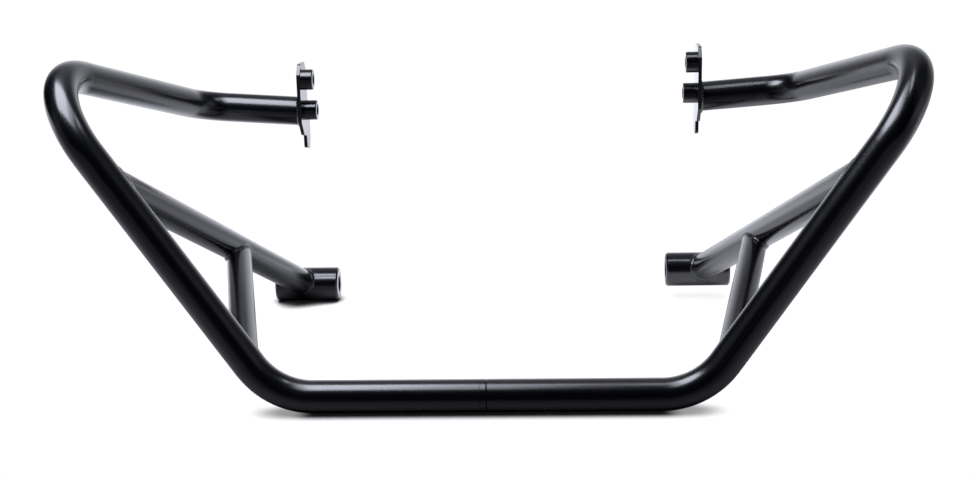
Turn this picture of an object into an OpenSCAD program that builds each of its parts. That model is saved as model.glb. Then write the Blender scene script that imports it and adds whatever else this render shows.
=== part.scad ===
// Motorcycle crash bars: two welded tube halves joined under the engine.
// Millimetres, +X to the rider's left side, +Y to the rear, +Z up, floor at z = 0.
// Seen from the front, the left_ nodes lie on the -X side and the right_ nodes on the +X side.

/* [Main tube] */
// Outside diameter of the main tube
main_od = 25.4; // [20:0.1:32]
// Wall of the main tube
main_wall = 2.5; // [1.5:0.1:4]
// Centreline radius of the lower and outer bends
bend_r = 57; // [45:1:80]
// Centreline radius of the bend before the mounting plate
return_bend_r = 36; // [30:1:45]
// Joint face to the lower corner, along X
cross_half = 162; // [120:1:220]
// Lower corner to the outer corner, sideways
diagonal_out = 174; // [120:1:220]
// Lower corner to the outer corner, upwards
diagonal_up = 257; // [200:1:320]
// Outer corner to the return corner, inwards
return_in = 75; // [50:1:100]
// Outer corner to the return corner, to the rear
return_back = 251.5; // [190:0.5:320]
// Outer corner to the return corner, downwards
return_drop = 68.5; // [40:0.5:95]
// Return corner to the left plate, inwards
left_stub_in = 88.5; // [65:0.5:110]
// Return corner to the right plate, inwards
right_stub_in = 81; // [65:0.5:110]
// Return corner to the plate, downwards
stub_drop = 6; // [0:0.5:12]
// Turn of the +X half about the joint axis, in degrees
half_turn = 1.9; // [0:0.1:3]

/* [Joint] */
// Length of the collar between the two halves
collar_l = 5; // [3:0.5:10]
// Length of each spigot inside its tube
spigot_l = 82; // [75:1:110]
// Wall of the insert
insert_wall = 4; // [3:0.1:6]
// Gap between the spigot and the bore of the main tube
spigot_gap = 0.05; // [0.02:0.01:0.2]
// Lead-in chamfer at the two ends of the insert
spigot_chamfer = 1.5; // [0.5:0.1:2.5]
// Edge chamfer on both sides of the open seam, at the right half
seam_chamfer = 0.6; // [0.2:0.1:1]
// Edge chamfer on both sides of the shut seam, at the left half
shut_chamfer = 0.15; // [0.05:0.05:0.5]
// Joint face to the first screw
screw_first = 46; // [35:1:50]
// First screw to the second screw
screw_pitch = 19; // [14:0.5:24]
// Head diameter of the countersunk screws
screw_head_d = 9.4; // [8:0.1:10]
// Shank diameter of the screws
screw_d = 5; // [4:0.1:6]
// Socket width across flats
socket_af = 3; // [2:0.1:3.5]
// Socket depth
socket_depth = 1.8; // [1:0.1:2.2]
// Screw tip short of the bore of the insert
tip_short = 0.6; // [0.2:0.1:1.5]
// Angle of the screws below the horizontal, in degrees
screw_angle = 58; // [45:1:75]

/* [Brace tube] */
// Outside diameter of the brace
brace_od = 25; // [18:0.1:25.2]
// Wall of the brace
brace_wall = 2.5; // [1.5:0.1:4]
// Start of the outer bend down to the brace axis, along the diagonal
brace_below_bend = 24; // [20:1:40]

/* [Gusset tube] */
// Outside diameter of the gusset
gusset_od = 21.3; // [15:0.1:24]
// Wall of the gusset
gusset_wall = 2; // [1.5:0.1:3.5]
// End of the lower bend up to the gusset axis, along the diagonal
gusset_above_bend = 7; // [5:0.5:20]
// Bush axis up to the gusset axis, along the brace
gusset_from_bush = 152; // [110:1:190]

/* [Lower bush] */
// Outside diameter of the bush
bush_od = 32; // [27:0.5:40]
// Bore of the bush
bush_bore = 14.5; // [10:0.1:20]
// Length of the bush
bush_l = 60; // [50:1:75]
// Edge chamfer of the bush
bush_chamfer = 1.5; // [0.5:0.1:2]
// Joint face to the middle of the bush, sideways
bush_out = 187; // [150:1:225]
// Cross tube axis to the bush axis, to the rear
bush_back = 329; // [260:1:400]
// Brace axis outboard of the middle of the bush
brace_offset = 3; // [0:0.5:8]

/* [Mounting plate] */
// Thickness of the plate
plate_t = 3; // [2:0.1:6]
// Tube axis to the front edge
plate_front = 17; // [15:0.5:20]
// Tube axis to the back edge of the upper lobe
plate_back = 19; // [15:0.5:23]
// Upper bore to the top edge
plate_over_bore = 13.7; // [12:0.1:18]
// Tube axis to the back edge of the tail
tail_back = 27; // [24:0.5:33]
// Tube axis to the lower end of the tail
tail_drop = 37; // [33:0.5:45]
// Corner cut of the upper lobe
plate_corner = 8; // [5:0.5:10]
// Tube axis down to the lower end of the front edge
front_low = 8; // [4:0.5:12]
// Tube axis up to the start of the tail at the back edge
tail_top = 8; // [4:0.5:12]
// Width of the tail at its lower end
tail_w = 19; // [14:0.5:22]
// Height of the toe under the step in the front edge
tail_toe = 14; // [10:0.5:16]
// Front edge of the plate to the step above the toe
step_in = 12; // [8:0.5:14]
// Corner cut at the back of the tail
tail_cut = 8; // [4:0.5:10]
// Rise of the lower edge of the tail towards the front
toe_rise = 3; // [0:0.5:5]
// Corner rounding of the plate
plate_round = 2; // [0.5:0.1:3]

/* [Spacers] */
// Outside diameter of the upper spacer
upper_spacer_od = 18; // [15:0.1:21.5]
// Length of the upper spacer
upper_spacer_l = 10.4; // [5:0.1:20]
// Outside diameter of the lower spacer
lower_spacer_od = 17.5; // [15:0.1:20]
// Length of the lower spacer
lower_spacer_l = 12.1; // [5:0.1:22]
// Bore of the upper spacer and of the plate behind it
spacer_bore = 8.6; // [6:0.1:10.5]
// Core hole of the thread in the lower spacer and in the plate behind it
thread_core = 8.5; // [6:0.1:10.5]
// Edge chamfer of the spacers
spacer_chamfer = 0.8; // [0.2:0.1:1.2]
// Tube axis up to the lower bore of the left plate
left_bore_up = 1; // [0:0.5:4]
// Tube axis up to the lower bore of the right plate
right_bore_up = 3.5; // [0:0.5:4]
// Lower bore up to the upper bore
bore_pitch = 27.7; // [24:0.1:34]
// Upper bore in front of the tube axis
upper_bore_front = 7; // [3:0.5:7]
// Lower bore in front of the tube axis
lower_bore_front = 1.5; // [0:0.5:4]

/* [Welds] */
// Leg of the weld beads between tubes
tube_weld = 2; // [1.5:0.1:3]
// Leg of the weld bead at the plate
plate_weld = 2; // [1.5:0.1:3]

/* [Hidden] */

main_r = main_od/2;
brace_r = brace_od/2;
gusset_r = gusset_od/2;
bush_r = bush_od/2;
coat = "#1b1c1f";
zinc = "#b9bcc0";
lap = 0.6;
slim = 0.05;
over = 1;

function unit(v) = v/norm(v);
function turn(u, v) = acos(max(-1, min(1, u*v)));
function side_of(d) = unit(cross(abs(d[2]) < 0.9 ? [0, 0, 1] : [1, 0, 0], d));

// Corners of the bent centreline, in the +X half before its turn. Side is 1 for the right half and
// -1 for the left half, whose stub and bores have their own sizes.
joint_end = [0, 0, main_r];
lower_corner = [cross_half, 0, main_r];
outer_corner = lower_corner + [diagonal_out, 0, diagonal_up];
return_corner = outer_corner + [-return_in, return_back, -return_drop];
function stub_in(side) = side > 0 ? right_stub_in : left_stub_in;
function plate_end(side) = return_corner - [stub_in(side), 0, stub_drop];
function path(side) = [joint_end, lower_corner, outer_corner, return_corner, plate_end(side)];
radii = [0, bend_r, bend_r, return_bend_r, 0];

cross_dir = unit(lower_corner - joint_end);
diagonal_dir = unit(outer_corner - lower_corner);
return_dir = unit(return_corner - outer_corner);
lower_tangent = bend_r*tan(turn(cross_dir, diagonal_dir)/2);
outer_tangent = bend_r*tan(turn(diagonal_dir, return_dir)/2);

brace_root = outer_corner - (outer_tangent + brace_below_bend)*diagonal_dir;
bush_mid = [bush_out, bush_back, bush_r];
brace_foot = bush_mid + [brace_offset, 0, 0];
brace_dir = unit(brace_foot - brace_root);
gusset_foot = lower_corner + (lower_tangent + gusset_above_bend)*diagonal_dir;
gusset_root = brace_foot - gusset_from_bush*brace_dir;

function bore_up(side) = side > 0 ? right_bore_up : left_bore_up;
function lower_bore(side) = [-lower_bore_front, bore_up(side)];
function upper_bore(side) = [-upper_bore_front, bore_up(side) + bore_pitch];
function plate_top(side) = bore_up(side) + bore_pitch + plate_over_bore;

// Foremost reach of the turned half, and the middle of the whole part from front to rear.
front_reach = main_r + sin(half_turn)*(diagonal_up - outer_tangent*diagonal_dir[2]);
middle_back = (bush_back + bush_r - front_reach)/2;

// Places children with their z axis along d at p.
module along(p, d) {
  x = side_of(d);
  y = cross(d, x);
  multmatrix([[x[0], y[0], d[0], p[0]],
              [x[1], y[1], d[1], p[1]],
              [x[2], y[2], d[2], p[2]],
              [0, 0, 0, 1]])
    children();
}

module rod(p, q, r) {
  along(p, unit(q - p)) cylinder(h = norm(q - p), r = r, $fn = 64);
}

// One bend of a round bar at corner p, from direction u to direction v.
module elbow(p, u, v, r_line, r) {
  a = turn(u, v);
  n = unit(cross(u, v));
  m = cross(n, u);
  c = p - u*r_line*tan(a/2) + m*r_line;
  z = cross(-m, u);
  multmatrix([[-m[0], u[0], z[0], c[0]],
              [-m[1], u[1], z[1], c[1]],
              [-m[2], u[2], z[2], c[2]],
              [0, 0, 0, 1]])
    rotate_extrude(angle = a, $fn = 96)
      translate([r_line, 0])
        circle(r = r, $fn = 48);
}

// The bent bar of radius r along the path, from x = start to a run past the plate.
module bent_bar(side, r, start, past) {
  p = path(side);
  last = len(p) - 2;
  for (i = [0:last]) {
    d = unit(p[i + 1] - p[i]);
    s = i == 0 ? start : radii[i]*tan(turn(unit(p[i] - p[i - 1]), d)/2) - lap;
    e = i == last ? -past : radii[i + 1]*tan(turn(d, unit(p[i + 2] - p[i + 1]))/2) - lap;
    rod(p[i] + s*d, p[i + 1] - e*d, r);
  }
  for (i = [1:last]) {
    elbow(p[i], unit(p[i] - p[i - 1]), unit(p[i + 1] - p[i]), radii[i], r - slim);
  }
}

module diagonal_bar(r) {
  rod(lower_corner, outer_corner, r);
}

module brace_bar(r) {
  rod(brace_root, brace_foot, r);
}

module gusset_bar(r) {
  rod(gusset_root, gusset_foot, r);
}

module bush_bar(r) {
  along(bush_mid - [bush_l/2, 0, 0], [1, 0, 0]) cylinder(h = bush_l, r = r, $fn = 64);
}

// Main tube near the foot of the gusset, with its lower bend.
module lower_main_bar(r) {
  rod(lower_corner + (lower_tangent - lap)*diagonal_dir, outer_corner - outer_tangent*diagonal_dir, r);
  elbow(lower_corner, cross_dir, diagonal_dir, bend_r, r - slim);
}

// Countersunk screw and its hole share this form; its axis points away from the tube.
module screw_place(x) {
  along([x, 0, main_r], [0, -cos(screw_angle), -sin(screw_angle)]) children();
}

face_at = sqrt(main_r*main_r - screw_head_d*screw_head_d/4);
cone_h = (screw_head_d - screw_d)/2;
insert_r = main_r - main_wall - spigot_gap;
screw_tip = insert_r - insert_wall + tip_short;

module screw_cone() {
  translate([0, 0, face_at - cone_h])
    cylinder(h = cone_h, r1 = screw_d/2, r2 = screw_head_d/2, $fn = 48);
}

module countersink() {
  screw_cone();
  translate([0, 0, face_at - slim/2])
    cylinder(h = main_r - face_at + over, r = screw_head_d/2, $fn = 48);
}

module screw_holes() {
  for (x = [screw_first, screw_first + screw_pitch]) {
    screw_place(x) {
      countersink();
      cylinder(h = face_at, r = screw_d/2, $fn = 48);
    }
  }
}

// Ring that takes the outer edge off a tube end at x, c wide.
module end_chamfer(x, c) {
  along([x, 0, main_r], [1, 0, 0])
    rotate_extrude($fn = 64)
      polygon([[main_r - c - over, -over], [main_r + over, -over], [main_r + over, c + over]]);
}

// Run past the plate that covers the slant of the tube end.
function skew(side) = main_r*stub_drop/stub_in(side) + over;

// Blocks that hold everything near the plate inboard or outboard of x.
space = 4*main_od;

module inboard_of(x) {
  translate([x - space, return_corner[1] - space/2, return_corner[2] - space/2]) cube(space);
}

module outboard_of(x) {
  translate([x, return_corner[1] - space/2, return_corner[2] - space/2]) cube(space);
}

module main_tube(side) {
  start = side > 0 ? 0 : collar_l;
  difference() {
    bent_bar(side, main_r, start, skew(side));
    bent_bar(side, main_r - main_wall, start - over, skew(side) + over);
    inboard_of(plate_end(side)[0]);
    end_chamfer(start, side > 0 ? seam_chamfer : shut_chamfer);
    screw_holes();
  }
}

module brace_tube() {
  difference() {
    brace_bar(brace_r);
    brace_bar(brace_r - brace_wall);
    diagonal_bar(main_r);
    bush_bar(bush_r);
  }
}

module gusset_tube() {
  difference() {
    gusset_bar(gusset_r);
    gusset_bar(gusset_r - gusset_wall);
    lower_main_bar(main_r);
    brace_bar(brace_r);
  }
}

module lower_bush() {
  along(bush_mid - [bush_l/2, 0, 0], [1, 0, 0])
    rotate_extrude($fn = 64)
      polygon([[bush_bore/2 + bush_chamfer/2, 0], [bush_r - bush_chamfer, 0], [bush_r, bush_chamfer],
               [bush_r, bush_l - bush_chamfer], [bush_r - bush_chamfer, bush_l],
               [bush_bore/2 + bush_chamfer/2, bush_l], [bush_bore/2, bush_l - bush_chamfer/2],
               [bush_bore/2, bush_chamfer/2]]);
}

module spacer_turned(od, bore, l) {
  rotate_extrude($fn = 64)
    polygon([[bore/2, 0], [od/2, 0], [od/2, l - spacer_chamfer], [od/2 - spacer_chamfer, l],
             [bore/2 + spacer_chamfer, l], [bore/2, l - spacer_chamfer]]);
}

module spacer_place(side, at) {
  along(plate_end(side) + [-plate_t, at[0], at[1]], [-1, 0, 0]) children();
}

// Plate outline in the plane of the plate: x to the rear, y up, tube axis at the origin.
module plate_outline(top) {
  offset(r = plate_round) offset(delta = -plate_round)
    polygon([[-plate_front, -front_low], [-plate_front, top - 1.125*plate_corner],
             [-plate_front + plate_corner, top], [plate_back - plate_corner, top],
             [plate_back, top - plate_corner], [plate_back, tail_top],
             [tail_back, tail_top - 1.75*(tail_back - plate_back)], [tail_back, -tail_drop + tail_cut],
             [tail_back - 0.75*tail_cut, -tail_drop], [tail_back - tail_w, -tail_drop + toe_rise],
             [tail_back - tail_w - toe_rise/3, -tail_drop + tail_toe],
             [-plate_front + step_in, -tail_drop + tail_toe + step_in/6]]);
}

module plate_bore(side, at, d) {
  spacer_place(side, at)
    translate([0, 0, -plate_t - over]) cylinder(h = plate_t + 2*over, r = d/2, $fn = 48);
}

module mount_plate(side) {
  end = plate_end(side);
  difference() {
    multmatrix([[0, 0, 1, end[0] - plate_t],
                [1, 0, 0, end[1]],
                [0, 1, 0, end[2]],
                [0, 0, 0, 1]])
      linear_extrude(height = plate_t) plate_outline(plate_top(side));
    plate_bore(side, lower_bore(side), thread_core);
    plate_bore(side, upper_bore(side), spacer_bore);
  }
}

// Weld beads fill the corner that two grown bars share, outside both bars.
module brace_weld() {
  difference() {
    intersection() {
      brace_bar(brace_r + tube_weld);
      diagonal_bar(main_r + tube_weld);
    }
    brace_bar(brace_r);
    diagonal_bar(main_r);
  }
}

module bush_weld() {
  difference() {
    intersection() {
      brace_bar(brace_r + tube_weld);
      bush_bar(bush_r + tube_weld);
    }
    brace_bar(brace_r);
    bush_bar(bush_r);
  }
}

module gusset_top_weld() {
  difference() {
    intersection() {
      gusset_bar(gusset_r + tube_weld);
      brace_bar(brace_r + tube_weld);
    }
    gusset_bar(gusset_r);
    brace_bar(brace_r);
  }
}

module gusset_foot_weld() {
  difference() {
    intersection() {
      gusset_bar(gusset_r + tube_weld);
      lower_main_bar(main_r + tube_weld);
    }
    gusset_bar(gusset_r);
    lower_main_bar(main_r);
  }
}

module plate_weld_ring(side) {
  end = plate_end(side);
  way = unit(end - return_corner);
  past = skew(side);
  difference() {
    rod(end - 2*(past + plate_weld)*way, end + 2*past*way, main_r + plate_weld);
    rod(end - 3*(past + plate_weld)*way, end + 3*past*way, main_r);
    outboard_of(end[0] + plate_weld);
    inboard_of(end[0]);
  }
}

// Moves the finished piece so that the origin is under the middle of the part.
module set_down() {
  translate([0, -middle_back, 0]) children();
}

// Puts one half in place: side 1 is +X and carries the turn, side -1 is its mirror image.
module half(side) {
  if (side > 0) {
    translate([0, 0, main_r]) rotate([half_turn, 0, 0]) translate([0, 0, -main_r]) children();
  } else {
    mirror([1, 0, 0]) children();
  }
}

// Turned insert: a spigot for each half, and the collar between them.
module insert_sleeve() {
  bore_r = insert_r - insert_wall;
  difference() {
    along([0, 0, main_r], [1, 0, 0])
      rotate_extrude($fn = 64)
        polygon([[bore_r, -collar_l - spigot_l], [insert_r - spigot_chamfer, -collar_l - spigot_l],
                 [insert_r, -collar_l - spigot_l + spigot_chamfer], [insert_r, -collar_l],
                 [main_r - shut_chamfer, -collar_l], [main_r, -collar_l + shut_chamfer],
                 [main_r, -seam_chamfer], [main_r - seam_chamfer, 0], [insert_r, 0],
                 [insert_r, spigot_l - spigot_chamfer], [insert_r - spigot_chamfer, spigot_l],
                 [bore_r, spigot_l]]);
    for (side = [-1, 1]) {
      half(side) screw_holes();
    }
  }
}

module insert_screws() {
  for (side = [-1, 1]) {
    half(side)
      for (x = [screw_first, screw_first + screw_pitch]) {
        screw_place(x)
          difference() {
            union() {
              screw_cone();
              translate([0, 0, screw_tip])
                cylinder(h = face_at - cone_h - screw_tip + lap, r = screw_d/2, $fn = 48);
            }
            translate([0, 0, face_at - socket_depth])
              cylinder(h = socket_depth + over, r = socket_af/sqrt(3), $fn = 6);
          }
      }
  }
}

module joint_insert() {
  color(coat) set_down() insert_sleeve();
}

module joint_screws() {
  color(zinc) set_down() insert_screws();
}

module left_main_tube() {
  color(coat) set_down() half(-1) main_tube(-1);
}

module left_brace_tube() {
  color(coat) set_down() half(-1) brace_tube();
}

module left_gusset_tube() {
  color(coat) set_down() half(-1) gusset_tube();
}

module left_lower_bush() {
  color(coat) set_down() half(-1) lower_bush();
}

module left_mount_plate() {
  color(coat) set_down() half(-1) mount_plate(-1);
}

module left_upper_spacer() {
  color(coat) set_down() half(-1) spacer_place(-1, upper_bore(-1))
    spacer_turned(upper_spacer_od, spacer_bore, upper_spacer_l);
}

module left_lower_spacer() {
  color(coat) set_down() half(-1) spacer_place(-1, lower_bore(-1))
    spacer_turned(lower_spacer_od, thread_core, lower_spacer_l);
}

module left_brace_weld() {
  color(coat) set_down() half(-1) brace_weld();
}

module left_bush_weld() {
  color(coat) set_down() half(-1) bush_weld();
}

module left_gusset_top_weld() {
  color(coat) set_down() half(-1) gusset_top_weld();
}

module left_gusset_foot_weld() {
  color(coat) set_down() half(-1) gusset_foot_weld();
}

module left_plate_weld() {
  color(coat) set_down() half(-1) plate_weld_ring(-1);
}

module right_main_tube() {
  color(coat) set_down() half(1) main_tube(1);
}

module right_brace_tube() {
  color(coat) set_down() half(1) brace_tube();
}

module right_gusset_tube() {
  color(coat) set_down() half(1) gusset_tube();
}

module right_lower_bush() {
  color(coat) set_down() half(1) lower_bush();
}

module right_mount_plate() {
  color(coat) set_down() half(1) mount_plate(1);
}

module right_upper_spacer() {
  color(coat) set_down() half(1) spacer_place(1, upper_bore(1))
    spacer_turned(upper_spacer_od, spacer_bore, upper_spacer_l);
}

module right_lower_spacer() {
  color(coat) set_down() half(1) spacer_place(1, lower_bore(1))
    spacer_turned(lower_spacer_od, thread_core, lower_spacer_l);
}

module right_brace_weld() {
  color(coat) set_down() half(1) brace_weld();
}

module right_bush_weld() {
  color(coat) set_down() half(1) bush_weld();
}

module right_gusset_top_weld() {
  color(coat) set_down() half(1) gusset_top_weld();
}

module right_gusset_foot_weld() {
  color(coat) set_down() half(1) gusset_foot_weld();
}

module right_plate_weld() {
  color(coat) set_down() half(1) plate_weld_ring(1);
}

left_main_tube();
left_brace_tube();
left_gusset_tube();
left_lower_bush();
left_mount_plate();
left_upper_spacer();
left_lower_spacer();
left_brace_weld();
left_bush_weld();
left_gusset_top_weld();
left_gusset_foot_weld();
left_plate_weld();
right_main_tube();
right_brace_tube();
right_gusset_tube();
right_lower_bush();
right_mount_plate();
right_upper_spacer();
right_lower_spacer();
right_brace_weld();
right_bush_weld();
right_gusset_top_weld();
right_gusset_foot_weld();
right_plate_weld();
joint_insert();
joint_screws();
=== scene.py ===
import math
import bpy
import numpy as np
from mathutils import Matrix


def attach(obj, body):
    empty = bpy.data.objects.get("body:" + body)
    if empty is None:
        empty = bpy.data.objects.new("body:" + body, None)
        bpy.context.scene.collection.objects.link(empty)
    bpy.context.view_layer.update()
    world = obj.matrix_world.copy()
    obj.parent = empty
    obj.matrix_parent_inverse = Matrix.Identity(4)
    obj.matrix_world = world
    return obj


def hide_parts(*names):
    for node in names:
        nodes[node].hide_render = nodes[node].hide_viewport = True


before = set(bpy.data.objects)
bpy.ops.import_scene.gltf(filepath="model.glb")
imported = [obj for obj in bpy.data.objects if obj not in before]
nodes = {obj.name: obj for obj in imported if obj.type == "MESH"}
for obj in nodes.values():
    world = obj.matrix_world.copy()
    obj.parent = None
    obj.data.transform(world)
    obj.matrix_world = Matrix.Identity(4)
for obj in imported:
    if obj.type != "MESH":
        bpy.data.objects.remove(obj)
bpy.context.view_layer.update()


# Studio. A pale sheet of paper lies under the bars and runs on as a white background. Three soft
# boxes hang over them side by side in a room that is pale behind the bars, and the camera looks
# along the machine from the front.

def linear(text):
    """An sRGB hex colour as linear red, green, blue and alpha."""
    c = [int(text[i:i + 2], 16)/255 for i in (1, 3, 5)]
    return [v/12.92 if v <= 0.04045 else ((v + 0.055)/1.055)**2.4 for v in c] + [1.0]


def add(tree, kind, settings=None, **inputs):
    """Adds a shader node, with its settings, and its inputs as plain values or as links. A node
    given as a value stands for its first output. An input goes by its name, or by its number
    where names repeat: _0, _6 and _7 are the factor and the two colours of a Mix."""
    made = tree.nodes.new("ShaderNode" + kind)
    for name, value in (settings or {}).items():
        setattr(made, name, value)
    for name, value in inputs.items():
        key = int(name[1:]) if name[0] == "_" and name[1:].isdigit() else name.replace("_", " ")
        if isinstance(value, bpy.types.Node):
            value = value.outputs[0]
        if isinstance(value, bpy.types.NodeSocket):
            tree.links.new(value, made.inputs[key])
        else:
            made.inputs[key].default_value = value
    return made


def finish_named(name):
    """An empty node material of that name, with its tree."""
    mat = bpy.data.materials.new(name)
    mat.use_nodes = True
    mat.node_tree.nodes.clear()
    return mat, mat.node_tree


smooth = {"interpolation_type": "SMOOTHSTEP"}
plus = {"operation": "ADD"}
minus = {"operation": "SUBTRACT"}
times = {"operation": "MULTIPLY"}
without_sign = {"operation": "ABSOLUTE"}
two_colours = {"data_type": "RGBA"}
white, cool_white = linear("#ffffff"), linear("#f3f5ff")

# Matt white photo paper: no gloss. To the camera it glows white, and the shadow where the bars
# rest on it is a painted shadow in that glow, drawn from how closely the tubes cover the sheet.
paper, t = finish_named("matt_photo_paper")
ray = add(t, "LightPath")
spot = add(t, "SeparateXYZ", Vector=add(t, "TexCoord").outputs["Object"])
x, y = spot.outputs["X"], spot.outputs["Y"]
off_middle = add(t, "Math", without_sign, _0=x)

# How openly the sheet lies, which paints the contact shadow: 0 where a tube rests on it, and 1
# with nothing within about 20 mm.
cover = add(t, "AmbientOcclusion", {"samples": 12}, Distance=0.022)
open_to = add(t, "MapRange", smooth, Value=cover.outputs["AO"],
              From_Min=0.39, From_Max=0.83, To_Min=0.0, To_Max=1.0)

# The painted contact shadow is drawn paler by its place on the sheet, where the front tube rises
# at either end, and under the right bush.
tube_ends = add(t, "MapRange", smooth, Value=off_middle,
                From_Min=0.132, From_Max=0.15, To_Min=0.0, To_Max=0.3)
at_front = add(t, "MapRange", smooth, Value=y,
               From_Min=-0.12, From_Max=-0.05, To_Min=1.0, To_Max=0.0)
rising = add(t, "Math", times, _0=tube_ends, _1=at_front)
right_of_joint = add(t, "MapRange", smooth, Value=x,
                     From_Min=0.13, From_Max=0.15, To_Min=0.0, To_Max=0.85)
at_rear = add(t, "MapRange", smooth, Value=y,
              From_Min=0.0, From_Max=0.08, To_Min=0.02, To_Max=1.0)
raised = add(t, "Math", times, _0=right_of_joint, _1=at_rear)
least = add(t, "Math", plus, _0=rising, _1=raised)
least = add(t, "Math", plus, _0=least, _1=0.005)
shown = add(t, "MapRange", Value=open_to, From_Min=0.0, From_Max=1.0, To_Min=least, To_Max=1.0)
shown = add(t, "Math", times, _0=shown, _1=ray.outputs["Is Camera Ray"])

# Gloss sees the paper too, as a glow painted by place: a painted reflection, pale behind the bars
# but for a painted shade under the left brace.
painted_left_shade = add(t, "MapRange", smooth, Value=x,
                 From_Min=-0.2, From_Max=-0.05, To_Min=0.16, To_Max=0.0)
past_shade = add(t, "Math", minus, _0=y, _1=painted_left_shade)
behind = add(t, "MapRange", smooth, Value=past_shade,
             From_Min=-0.05, From_Max=0.08, To_Min=0.0, To_Max=0.42)
close_tone = add(t, "MapRange", smooth, Value=x,
                 From_Min=0.0, From_Max=0.2, To_Min=1.0, To_Max=1.35)
far_tone = add(t, "MapRange", smooth, Value=x,
               From_Min=-0.15, From_Max=0.15, To_Min=1.4, To_Max=0.85)
tone = add(t, "MapRange", smooth, Value=y,
           From_Min=0.14, From_Max=0.24, To_Min=close_tone, To_Max=far_tone)
behind = add(t, "Math", times, _0=behind, _1=tone)

# At either side the painted reflection is dimmer, dimmer still towards the camera, and dark far
# back on the right.
at_sides = add(t, "MapRange", smooth, Value=off_middle,
               From_Min=0.1, From_Max=0.34, To_Min=0.0, To_Max=0.22)
from_camera = add(t, "MapRange", smooth, Value=y,
                  From_Min=-0.6, From_Max=-0.2, To_Min=0.45, To_Max=1.0)
at_sides = add(t, "Math", times, _0=at_sides, _1=from_camera)
left_half = add(t, "MapRange", smooth, Value=x,
                From_Min=-0.15, From_Max=0.15, To_Min=1.0, To_Max=0.0)
less_right = add(t, "MapRange", smooth, Value=y,
                 From_Min=0.14, From_Max=0.24, To_Min=1.0, To_Max=left_half)
at_sides = add(t, "Math", times, _0=at_sides, _1=less_right)

# Where a glance runs along the sheet, a painted sheen is added, most of all far behind the bars.
glance = add(t, "MapRange", smooth, Value=add(t, "LayerWeight", Blend=0.5).outputs["Facing"],
             From_Min=0.66, From_Max=0.76, To_Min=0.0, To_Max=1.0)
mid_strip = add(t, "MapRange", smooth, Value=off_middle,
                From_Min=0.15, From_Max=0.5, To_Min=1.0, To_Max=0.0)
just_behind = add(t, "MapRange", smooth, Value=y,
                  From_Min=0.1, From_Max=0.22, To_Min=0.0, To_Max=0.35)
far_behind = add(t, "MapRange", smooth, Value=y,
                 From_Min=0.8, From_Max=1.3, To_Min=0.0, To_Max=0.75)
just_behind = add(t, "Math", times, _0=just_behind, _1=less_right)
distance = add(t, "Math", plus, _0=just_behind, _1=far_behind)
distance = add(t, "Math", times, _0=mid_strip, _1=distance)
glance = add(t, "Math", times, _0=glance, _1=distance)

painted_reflection = add(t, "Math", plus, _0=behind, _1=at_sides)
painted_reflection = add(t, "Math", plus, _0=painted_reflection, _1=glance)
painted_reflection = add(t, "Math", times, _0=painted_reflection, _1=ray.outputs["Is Glossy Ray"])
# The painted reflection is darkened by the painted contact shadow too.
painted_reflection = add(t, "Math", times, _0=painted_reflection, _1=open_to)
lift = add(t, "Math", plus, _0=shown, _1=painted_reflection)
hue = add(t, "Mix", two_colours, _0=ray.outputs["Is Camera Ray"], _6=cool_white, _7=white)
glow = add(t, "Emission", Color=hue.outputs[2], Strength=lift)

# The paper's grey is painted nearly black in front of the bars, a painted shade there, so that it
# passes hardly any light on to them.
painted_lit_share = add(t, "MapRange", smooth, Value=y,
          From_Min=-0.26, From_Max=-0.15, To_Min=0.0, To_Max=1.0)
painted_shade_grey = add(t, "Mix", two_colours, _0=painted_lit_share, _6=linear("#0a0a0a"), _7=linear("#828285"))
matt = add(t, "BsdfDiffuse", Color=painted_shade_grey.outputs[2])
both = add(t, "AddShader", _0=matt, _1=glow)
add(t, "OutputMaterial", Surface=both)

half = 9
sheet = bpy.data.meshes.new("paper_floor")
sheet.from_pydata([(-half, -half, 0), (half, -half, 0), (half, half, 0), (-half, half, 0)],
                  [], [(0, 1, 2, 3)])
floor = bpy.data.objects.new("paper_floor", sheet)
floor.data.materials.append(paper)
bpy.context.scene.collection.objects.link(floor)

# The room: pale behind the bars, dim above and at either side, dark on the camera's side. A
# bearing of 0 is straight behind the bars, and it grows to the right.
world = bpy.data.worlds.new("studio_room")
world.use_nodes = True
bpy.context.scene.world = world
t = world.node_tree
t.nodes.clear()
sight = add(t, "SeparateXYZ", Vector=add(t, "TexCoord").outputs["Generated"])
bearing = add(t, "Math", {"operation": "ARCTAN2"}, _0=sight.outputs["X"], _1=sight.outputs["Y"])
left_wall = add(t, "MapRange", smooth, Value=bearing,
                From_Min=math.radians(-50), From_Max=math.radians(-4), To_Min=0.0, To_Max=1.0)
right_wall = add(t, "MapRange", smooth, Value=bearing,
                 From_Min=math.radians(-4), From_Max=math.radians(58), To_Min=1.0, To_Max=0.15)
walls = add(t, "Math", times, _0=left_wall, _1=right_wall)
to_either_side = add(t, "Math", without_sign, _0=bearing)
abreast = add(t, "MapRange", smooth, Value=to_either_side,
              From_Min=math.radians(85), From_Max=math.radians(100), To_Min=0.0, To_Max=0.12)
walls = add(t, "Math", plus, _0=walls, _1=abreast)
dark_front = add(t, "MapRange", smooth, Value=to_either_side,
                 From_Min=math.radians(112), From_Max=math.radians(138), To_Min=1.0, To_Max=0.0)
walls = add(t, "Math", times, _0=walls, _1=dark_front)
ceiling = add(t, "MapRange", smooth, Value=sight.outputs["Z"],
              From_Min=0.2, From_Max=0.62, To_Min=1.0, To_Max=0.22)
room = add(t, "Math", times, _0=walls, _1=ceiling)
room = add(t, "Math", plus, _0=room, _1=0.003)
ray = add(t, "LightPath")
level = add(t, "Mix", {"data_type": "FLOAT"}, _0=ray.outputs["Is Camera Ray"], _2=room, _3=1.0)
hue = add(t, "Mix", two_colours, _0=ray.outputs["Is Camera Ray"], _6=cool_white, _7=white)
sky = add(t, "Background", Color=hue.outputs[2], Strength=level)
add(t, "OutputWorld", Surface=sky)

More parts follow.
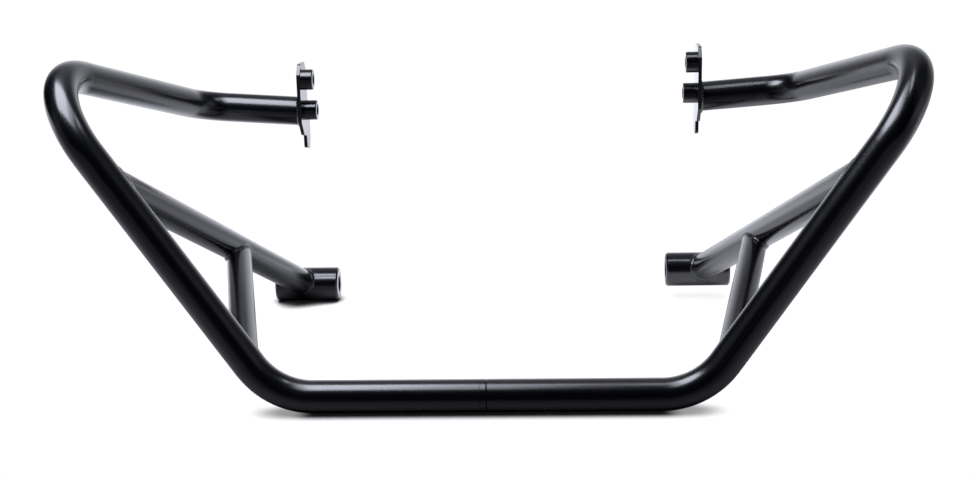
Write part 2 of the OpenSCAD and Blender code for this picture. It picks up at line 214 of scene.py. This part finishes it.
# Each box hangs 1 m over the sheet. Its radiance is its power over its area and pi.
for where, middle, (width, depth), turn, radiance in (
        ("left", (-0.45, -0.25, 1.0), (0.60, 0.72), -12, 6.0),
        ("middle", (-0.059, -0.333, 1.0), (0.20, 0.72), -12, 2.7),
        ("right", (0.245, -0.13, 1.0), (0.09, 0.34), 0, 4.2)):
    lamp = bpy.data.lights.new(f"soft_box_{where}", "AREA")
    lamp.shape = "RECTANGLE"
    lamp.size, lamp.size_y = width, depth
    lamp.energy = radiance*math.pi*width*depth
    lamp.color = linear("#eef1ff")[:3]
    box = bpy.data.objects.new(f"soft_box_{where}", lamp)
    box.location = middle
    box.rotation_euler = (0, 0, math.radians(turn))
    box.visible_camera = False
    bpy.context.scene.collection.objects.link(box)

# The lens is given in pixels of the picture: its focal length and the point that it looks at.
picture_width, picture_height = 973.0, 482.0
focal_length = 1538.596
aim_x, aim_y = 487.990, 274.113
eye = bpy.data.cameras.new("front_camera")
eye.sensor_width = 36.0
eye.lens = focal_length*36.0/picture_width
eye.shift_x = (picture_width/2 - aim_x)/picture_width
eye.shift_y = (aim_y - picture_height/2)/picture_width
camera = bpy.data.objects.new("front_camera", eye)
camera.location = (0.056466, -1.266788, 0.387803)
camera.rotation_euler = (1.32225033, 0.02185595, 0.04287491)
bpy.context.scene.collection.objects.link(camera)
bpy.context.scene.camera = camera
bpy.context.scene.view_settings.view_transform = "Standard"


# Main tubes. Two hoops bent from 25.4 mm steel tube with a 2.5 mm wall, each in one length from
# the joint under the engine to its mounting plate. They are blasted and powder coated.

mm = 0.001


def powder_coat(name, tint, rough, peel, edge, grain=0.0):
    """Semi-gloss black polyester powder coat: baked on 0.08 mm thick, with the slight orange peel
    that waves its highlights, and a little more or less gloss from place to place. An edge given
    by its radius catches the light, and a grain makes the coat as rough as what lies under it."""
    coat_ior = 1.6
    gloss_spread = 0.03
    mat, t = finish_named(name)
    spot = add(t, "TexCoord").outputs["Object"]
    # Orange peel, in waves 2.5 mm long.
    waves = add(t, "TexNoise", Vector=spot, Scale=1/(2.5*mm), Detail=1.5, Roughness=0.4)
    # Clouds 25 mm wide, where the coat lies thicker or thinner.
    cloud = add(t, "TexNoise", Vector=spot, Scale=1/(25*mm), Detail=3.0, Roughness=0.55)
    bump = add(t, "Bump", Height=waves.outputs["Fac"], Distance=peel, Strength=1.0)
    if edge:
        round_edge = add(t, "Bevel", {"samples": 4}, Radius=edge)
        t.links.new(round_edge.outputs[0], bump.inputs["Normal"])
    if grain:
        # Pits and spatter over a weld, 0.7 mm apart.
        pits = add(t, "TexNoise", Vector=spot, Scale=1400.0, Detail=2.0, Roughness=0.6)
        bump = add(t, "Bump", Height=pits.outputs["Fac"], Distance=grain, Strength=1.0,
                   Normal=bump)
    gloss = add(t, "MapRange", Value=cloud.outputs["Fac"], From_Min=0.3, From_Max=0.7,
                To_Min=rough - gloss_spread, To_Max=rough + gloss_spread)
    shade = add(t, "Mix", two_colours, _0=cloud.outputs["Fac"],
                _6=linear(tint[0]), _7=linear(tint[1]))
    coat = add(t, "BsdfPrincipled", Base_Color=shade.outputs[2], Roughness=gloss, Normal=bump,
               IOR=coat_ior, Coat_Weight=1.0, Coat_IOR=coat_ior, Coat_Roughness=rough,
               Coat_Normal=bump)
    add(t, "OutputMaterial", Surface=coat)
    return mat


def dress(mat, *names):
    """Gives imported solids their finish."""
    for name in names:
        nodes[name].data.materials.clear()
        nodes[name].data.materials.append(mat)


blue_black = ("#03050c", "#050711")
tube_coat = powder_coat("powder_coat_on_tube", blue_black, rough=0.24, peel=12e-6, edge=None)
dress(tube_coat, "left_main_tube", "right_main_tube")

# The middle line of the +X hoop, from the middle of the joint at floor level: the corners of its
# three bends, and its end on the plate, which lies nearer on the left hoop.
main_r = 12.7*mm
bend_r = 57*mm
lower_corner = np.array([162, 0, 12.7])*mm
outer_corner = lower_corner + np.array([174, 0, 257])*mm
return_corner = outer_corner + np.array([-75, 251.5, -68.5])*mm
plate_end = {-1: return_corner - np.array([88.5, 0, 6])*mm,
             1: return_corner - np.array([81, 0, 6])*mm}


def unit(v):
    """A direction of length 1."""
    return v/np.linalg.norm(v, axis=-1, keepdims=True)


cross_way = np.array([1.0, 0, 0])
diagonal_way = unit(outer_corner - lower_corner)
return_way = unit(return_corner - outer_corner)
lower_tangent = bend_r*math.tan(math.acos(cross_way @ diagonal_way)/2)
outer_tangent = bend_r*math.tan(math.acos(diagonal_way @ return_way)/2)


# Brace tubes. A straight 25 mm steel tube runs from under each outer bend back and down to the
# bush, with its ends cut to the curve of what they meet.

dress(tube_coat, "left_brace_tube", "right_brace_tube")
brace_r = 12.5*mm
bush_r = 16*mm
bush_mid = np.array([187, 329, 16])*mm
brace_root = outer_corner - (outer_tangent + 24*mm)*diagonal_way
brace_foot = bush_mid + np.array([3, 0, 0])*mm
brace_way = unit(brace_foot - brace_root)


# Gusset tubes. A short steel tube, 21.3 mm across, ties each brace to the foot of the diagonal.
# Its ends are cut to the curves of the brace and of the main tube over its lower bend.

dress(tube_coat, "left_gusset_tube", "right_gusset_tube")
gusset_r = 10.65*mm
gusset_foot = lower_corner + (lower_tangent + 7*mm)*diagonal_way
gusset_root = brace_foot - 152*mm*brace_way
gusset_way = unit(gusset_foot - gusset_root)


# Lower bushes. Turned steel sleeves, 32 mm across and 60 mm long, with a 14.5 mm bore and
# chamfered ends, welded across the feet of the braces. The coat lies a little smoother on them
# than on drawn tube.

turned_coat = powder_coat("powder_coat_on_turned_steel", blue_black, rough=0.22, peel=8e-6,
                          edge=0.25*mm)
dress(turned_coat, "left_lower_bush", "right_lower_bush")


# Mounting plates. Flat plates cut from 3 mm sheet steel and welded across the ends of the main
# tubes. The coat rounds their cut edges, which show as thin bright lines.

plate_thickness = 3*mm
plate_coat = powder_coat("powder_coat_on_sheet_steel", blue_black, rough=0.24, peel=10e-6,
                         edge=0.45*mm)
dress(plate_coat, "left_mount_plate", "right_mount_plate")


# Spacers. Short turned steel sleeves on the inner side of each plate. The upper one has a plain
# bore. The lower one sits over the closed end of the tube and has an M10 thread, 1.5 mm a turn.

dress(turned_coat, "left_upper_spacer", "right_upper_spacer")


def place(points, side):
    """Points of the +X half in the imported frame. The left half is its mirror image, and the
    right half is turned 1.9 degrees about the axis of the joint. The middle of the whole part
    then comes over the origin."""
    right_turn = math.radians(1.9)
    joint_to_middle = 163.03563*mm
    p = points.copy()
    if side < 0:
        p[..., 0] *= -1
    else:
        y, z = p[..., 1].copy(), p[..., 2] - main_r
        p[..., 1] = y*math.cos(right_turn) - z*math.sin(right_turn)
        p[..., 2] = y*math.sin(right_turn) + z*math.cos(right_turn) + main_r
    p[..., 1] -= joint_to_middle
    return p


def solid(name, points, side):
    """A closed mesh from a grid of points that wraps round in both directions. Its faces are
    turned over on the left, where the points are mirrored."""
    n, m = points.shape[:2]
    i, j = np.meshgrid(np.arange(n), np.arange(m), indexing="ij")
    i2, j2 = (i + 1) % n, (j + 1) % m
    quads = np.stack([i*m + j, i2*m + j, i2*m + j2, i*m + j2], axis=-1).reshape(-1, 4)
    if side < 0:
        quads = quads[:, ::-1]
    mesh = bpy.data.meshes.new(name)
    mesh.from_pydata(points.reshape(-1, 3), [], quads.tolist())
    mesh.polygons.foreach_set("use_smooth", np.ones(len(quads), bool))
    mesh.set_sharp_from_angle(angle=math.radians(40))
    ob = bpy.data.objects.new(name, mesh)
    bpy.context.scene.collection.objects.link(ob)
    return ob


def threaded_sleeve(name, side, at, length, out_r, core_r, root_r, pitch, chamfer, seat_chamfer):
    """A sleeve whose wall is one closed profile turned about X: the seat on the plate, the outer
    wall, the free end with its two chamfers, and the bore. In the bore the radius is core_r plus
    a groove of the shape (1 + cos)/2 cut short at both ends, whose phase goes forward one pitch
    in each turn, as a right-hand thread does. The groove fades out over half a pitch at either
    end of the bore."""
    steps_round, steps_in_pitch = 96, 12
    turn = np.linspace(0, 2*math.pi, steps_round, endpoint=False)[:, None]
    shell_x = [0.0, 0.0, length - chamfer, length, length]
    shell_r = [core_r + seat_chamfer, out_r, out_r, out_r - chamfer, core_r + chamfer]
    bore_x = np.linspace(length - chamfer, 0, round(length/pitch)*steps_in_pitch)
    x = np.concatenate([shell_x, bore_x])
    r = np.concatenate([shell_r, np.full(len(bore_x), core_r)])
    fade = np.clip(np.minimum(x, length - chamfer - x)/(0.5*pitch), 0, 1)
    fade[:len(shell_x)] = 0
    groove = np.clip(0.5 + 0.62*np.cos(2*math.pi*x/pitch - side*turn), 0, 1)
    r = r + (root_r - core_r)*fade*groove
    grid = np.stack([at[0] - x + 0*turn, at[1] + r*np.cos(turn), at[2] - r*np.sin(turn)], -1)
    ob = solid(name, place(grid, side), side)
    ob.data.materials.append(turned_coat)
    return ob


# The thread's axis lies 1.5 mm in front of the tube's end and a little above it.
for side, hand, up in ((-1, "left", 1.0*mm), (1, "right", 3.5*mm)):
    seat = plate_end[side] + np.array([-plate_thickness, -1.5*mm, up])
    sleeve = threaded_sleeve(f"{hand}_threaded_spacer", side, seat, length=12.1*mm,
                             out_r=8.75*mm, core_r=4.25*mm, root_r=5.0*mm, pitch=1.5*mm,
                             chamfer=0.8*mm, seat_chamfer=0.4*mm)
    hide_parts(f"{hand}_lower_spacer")
    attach(sleeve, "root")


# Weld beads. Each tube end is welded all round. The torch leaves a row of overlapping drops
# about 2 mm apart, and the powder coat runs over them, rougher and with pits and spatter.

weld_coat = powder_coat("powder_coat_over_weld", ("#04060d", "#080a13"), rough=0.27, peel=10e-6,
                        edge=0.2*mm, grain=30e-6)


def round_bar(at, way, r):
    """Distance from a point to a bar's wall: its distance to the axis, less the radius."""
    return lambda p: np.linalg.norm(np.cross(p - at, way), axis=-1) - r


def bent_foot(p):
    """Distance to the main tube's wall where the diagonal leaves the lower bend: a straight bar
    above the end of the bend, and a ring of radius bend_r below it."""
    end = lower_corner + lower_tangent*diagonal_way
    across = unit(np.cross(cross_way, diagonal_way))
    middle = end + bend_r*np.cross(across, diagonal_way)
    q = p - middle
    h = q @ across
    ring = np.hypot(np.linalg.norm(q - h[..., None]*across, axis=-1) - bend_r, h) - main_r
    return np.where((p - end) @ diagonal_way > 0, round_bar(end, diagonal_way, main_r)(p), ring)


def slope(surface, p):
    """Outward normal of a surface given by its distance function, from small steps each way."""
    e = 1e-6
    g = [surface(p + e*step) - surface(p - e*step) for step in np.eye(3)]
    return unit(np.stack(g, axis=-1))


def bead(name, at, way, r, reach, surface, side):
    """A weld bead round a tube of radius r that runs from `at` along `way` into a surface.
    For each angle the root of the bead is found by halving: the point on the tube's wall that
    lies on the surface. The face then goes from a toe up the tube to a toe on the surface, with
    a crown of sin(pi w), and each drop adds |sin(pi s)|, where s counts drops along the root and
    is bowed by the place w across the face. The leg's width wanders in 5 and 13 waves round the
    joint. Toes and root lie a little under the walls."""
    leg, crown, pitch, ripple = 2.4*mm, 0.45*mm, 2.0*mm, 0.2*mm
    toe_depth, root_depth, bow = 0.04*mm, 0.05*mm, 0.55
    steps_round, steps_across, halvings = 420, 13, 40
    turn = np.linspace(0, 2*math.pi, steps_round, endpoint=False)
    u = unit(np.cross(way, [0.1, 0.2, 1.0]))
    v = np.cross(way, u)
    n_tube = np.cos(turn)[:, None]*u + np.sin(turn)[:, None]*v
    wall = at + r*n_tube
    low, high = np.zeros(len(turn)), np.full(len(turn), reach)
    for _ in range(halvings):
        mid = (low + high)/2
        inside = surface(wall + mid[:, None]*way) < 0
        low, high = np.where(inside, low, mid), np.where(inside, mid, high)
    root = wall + high[:, None]*way
    n_wall = slope(surface, root)
    run = unit(np.cross(n_tube, n_wall))
    up = np.cross(run, n_tube)
    up *= np.sign(np.sum(up*n_wall, -1, keepdims=True))
    out = np.cross(run, n_wall)
    out *= np.sign(np.sum(out*n_tube, -1, keepdims=True))
    step = np.linalg.norm(np.roll(root, -1, 0) - root, axis=-1)
    along = np.concatenate([[0], np.cumsum(step)[:-1]])/step.sum()
    drops = round(step.sum()/pitch)
    wide = leg*(1 + 0.05*np.sin(2*math.pi*(5*along + 0.2))
                + 0.04*np.sin(2*math.pi*(13*along + 0.6)))
    w = np.linspace(0, 1, steps_across)
    toe_up = root + wide[:, None]*up
    toe_up -= (round_bar(at, way, r)(toe_up) + toe_depth)[:, None]*n_tube
    toe_out = root + wide[:, None]*out
    toe_out -= (surface(toe_out) + toe_depth)[:, None]*slope(surface, toe_out)
    face_way = unit(n_tube + n_wall)
    chord = toe_up[:, None]*(1 - w)[None, :, None] + toe_out[:, None]*w[None, :, None]
    s = drops*along[:, None] + bow*(2*w[None] - 1)**2
    rise = np.sin(math.pi*w)[None]*(crown + ripple*(np.abs(np.sin(math.pi*s)) - 0.5))
    face = chord + rise[..., None]*face_way[:, None]
    grid = np.concatenate([face, (root - root_depth*face_way)[:, None]], axis=1)
    ob = solid(name, place(grid, side), side)
    ob.data.materials.append(weld_coat)
    return ob


# Each row gives a joint: where the tube's middle line ends and the way it gets there, its radius,
# how far before that end the search for the wall starts and how long it is, and what it runs into.
for side, hand in ((-1, "left"), (1, "right")):
    end = plate_end[side]
    stub_way = unit(end - return_corner)
    for where, tip, way, r, before, reach, surface in (
            ("brace", brace_root, -brace_way, brace_r, 60*mm, 60*mm,
             round_bar(outer_corner, diagonal_way, main_r)),
            ("bush", brace_foot, brace_way, brace_r, 60*mm, 60*mm,
             round_bar(bush_mid, cross_way, bush_r)),
            ("gusset_top", gusset_root, -gusset_way, gusset_r, 50*mm, 50*mm,
             round_bar(brace_root, brace_way, brace_r)),
            ("gusset_foot", gusset_foot, gusset_way, gusset_r, 50*mm, 50*mm, bent_foot),
            ("plate", end, stub_way, main_r, 20*mm, 24*mm, lambda p: p[..., 0] - end[0])):
        ob = bead(f"{hand}_{where}_bead", tip - before*way, way, r, reach, surface, side)
        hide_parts(f"{hand}_{where}_weld")
        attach(ob, "root")


# Joint insert. A turned steel sleeve that reaches 82 mm into both main tubes and keeps them in
# line, with a collar of their own diameter between their ends.

dress(turned_coat, "joint_insert")


# Joint screws. Four countersunk steel screws with hexagon sockets, two on each side of the seam,
# go up through the lower front of the tubes into the insert. They are zinc plated, not coated.

# Bright zinc plate: a thin silvery layer, a little cloudy, in clouds 1.1 mm wide.
zinc, t = finish_named("bright_zinc_plate")
spot = add(t, "TexCoord").outputs["Object"]
cloud = add(t, "TexNoise", Vector=spot, Scale=900.0, Detail=3.0, Roughness=0.6)
gloss = add(t, "MapRange", Value=cloud.outputs["Fac"],
            From_Min=0.3, From_Max=0.7, To_Min=0.24, To_Max=0.4)
shade = add(t, "Mix", two_colours, _0=cloud.outputs["Fac"],
            _6=linear("#b9bdc3"), _7=linear("#dadee3"))
round_edge = add(t, "Bevel", {"samples": 4}, Radius=0.15*mm)
plated = add(t, "BsdfPrincipled", Base_Color=shade.outputs[2], Roughness=gloss, Metallic=1.0,
             Normal=round_edge)
add(t, "OutputMaterial", Surface=plated)
dress(zinc, "joint_screws")
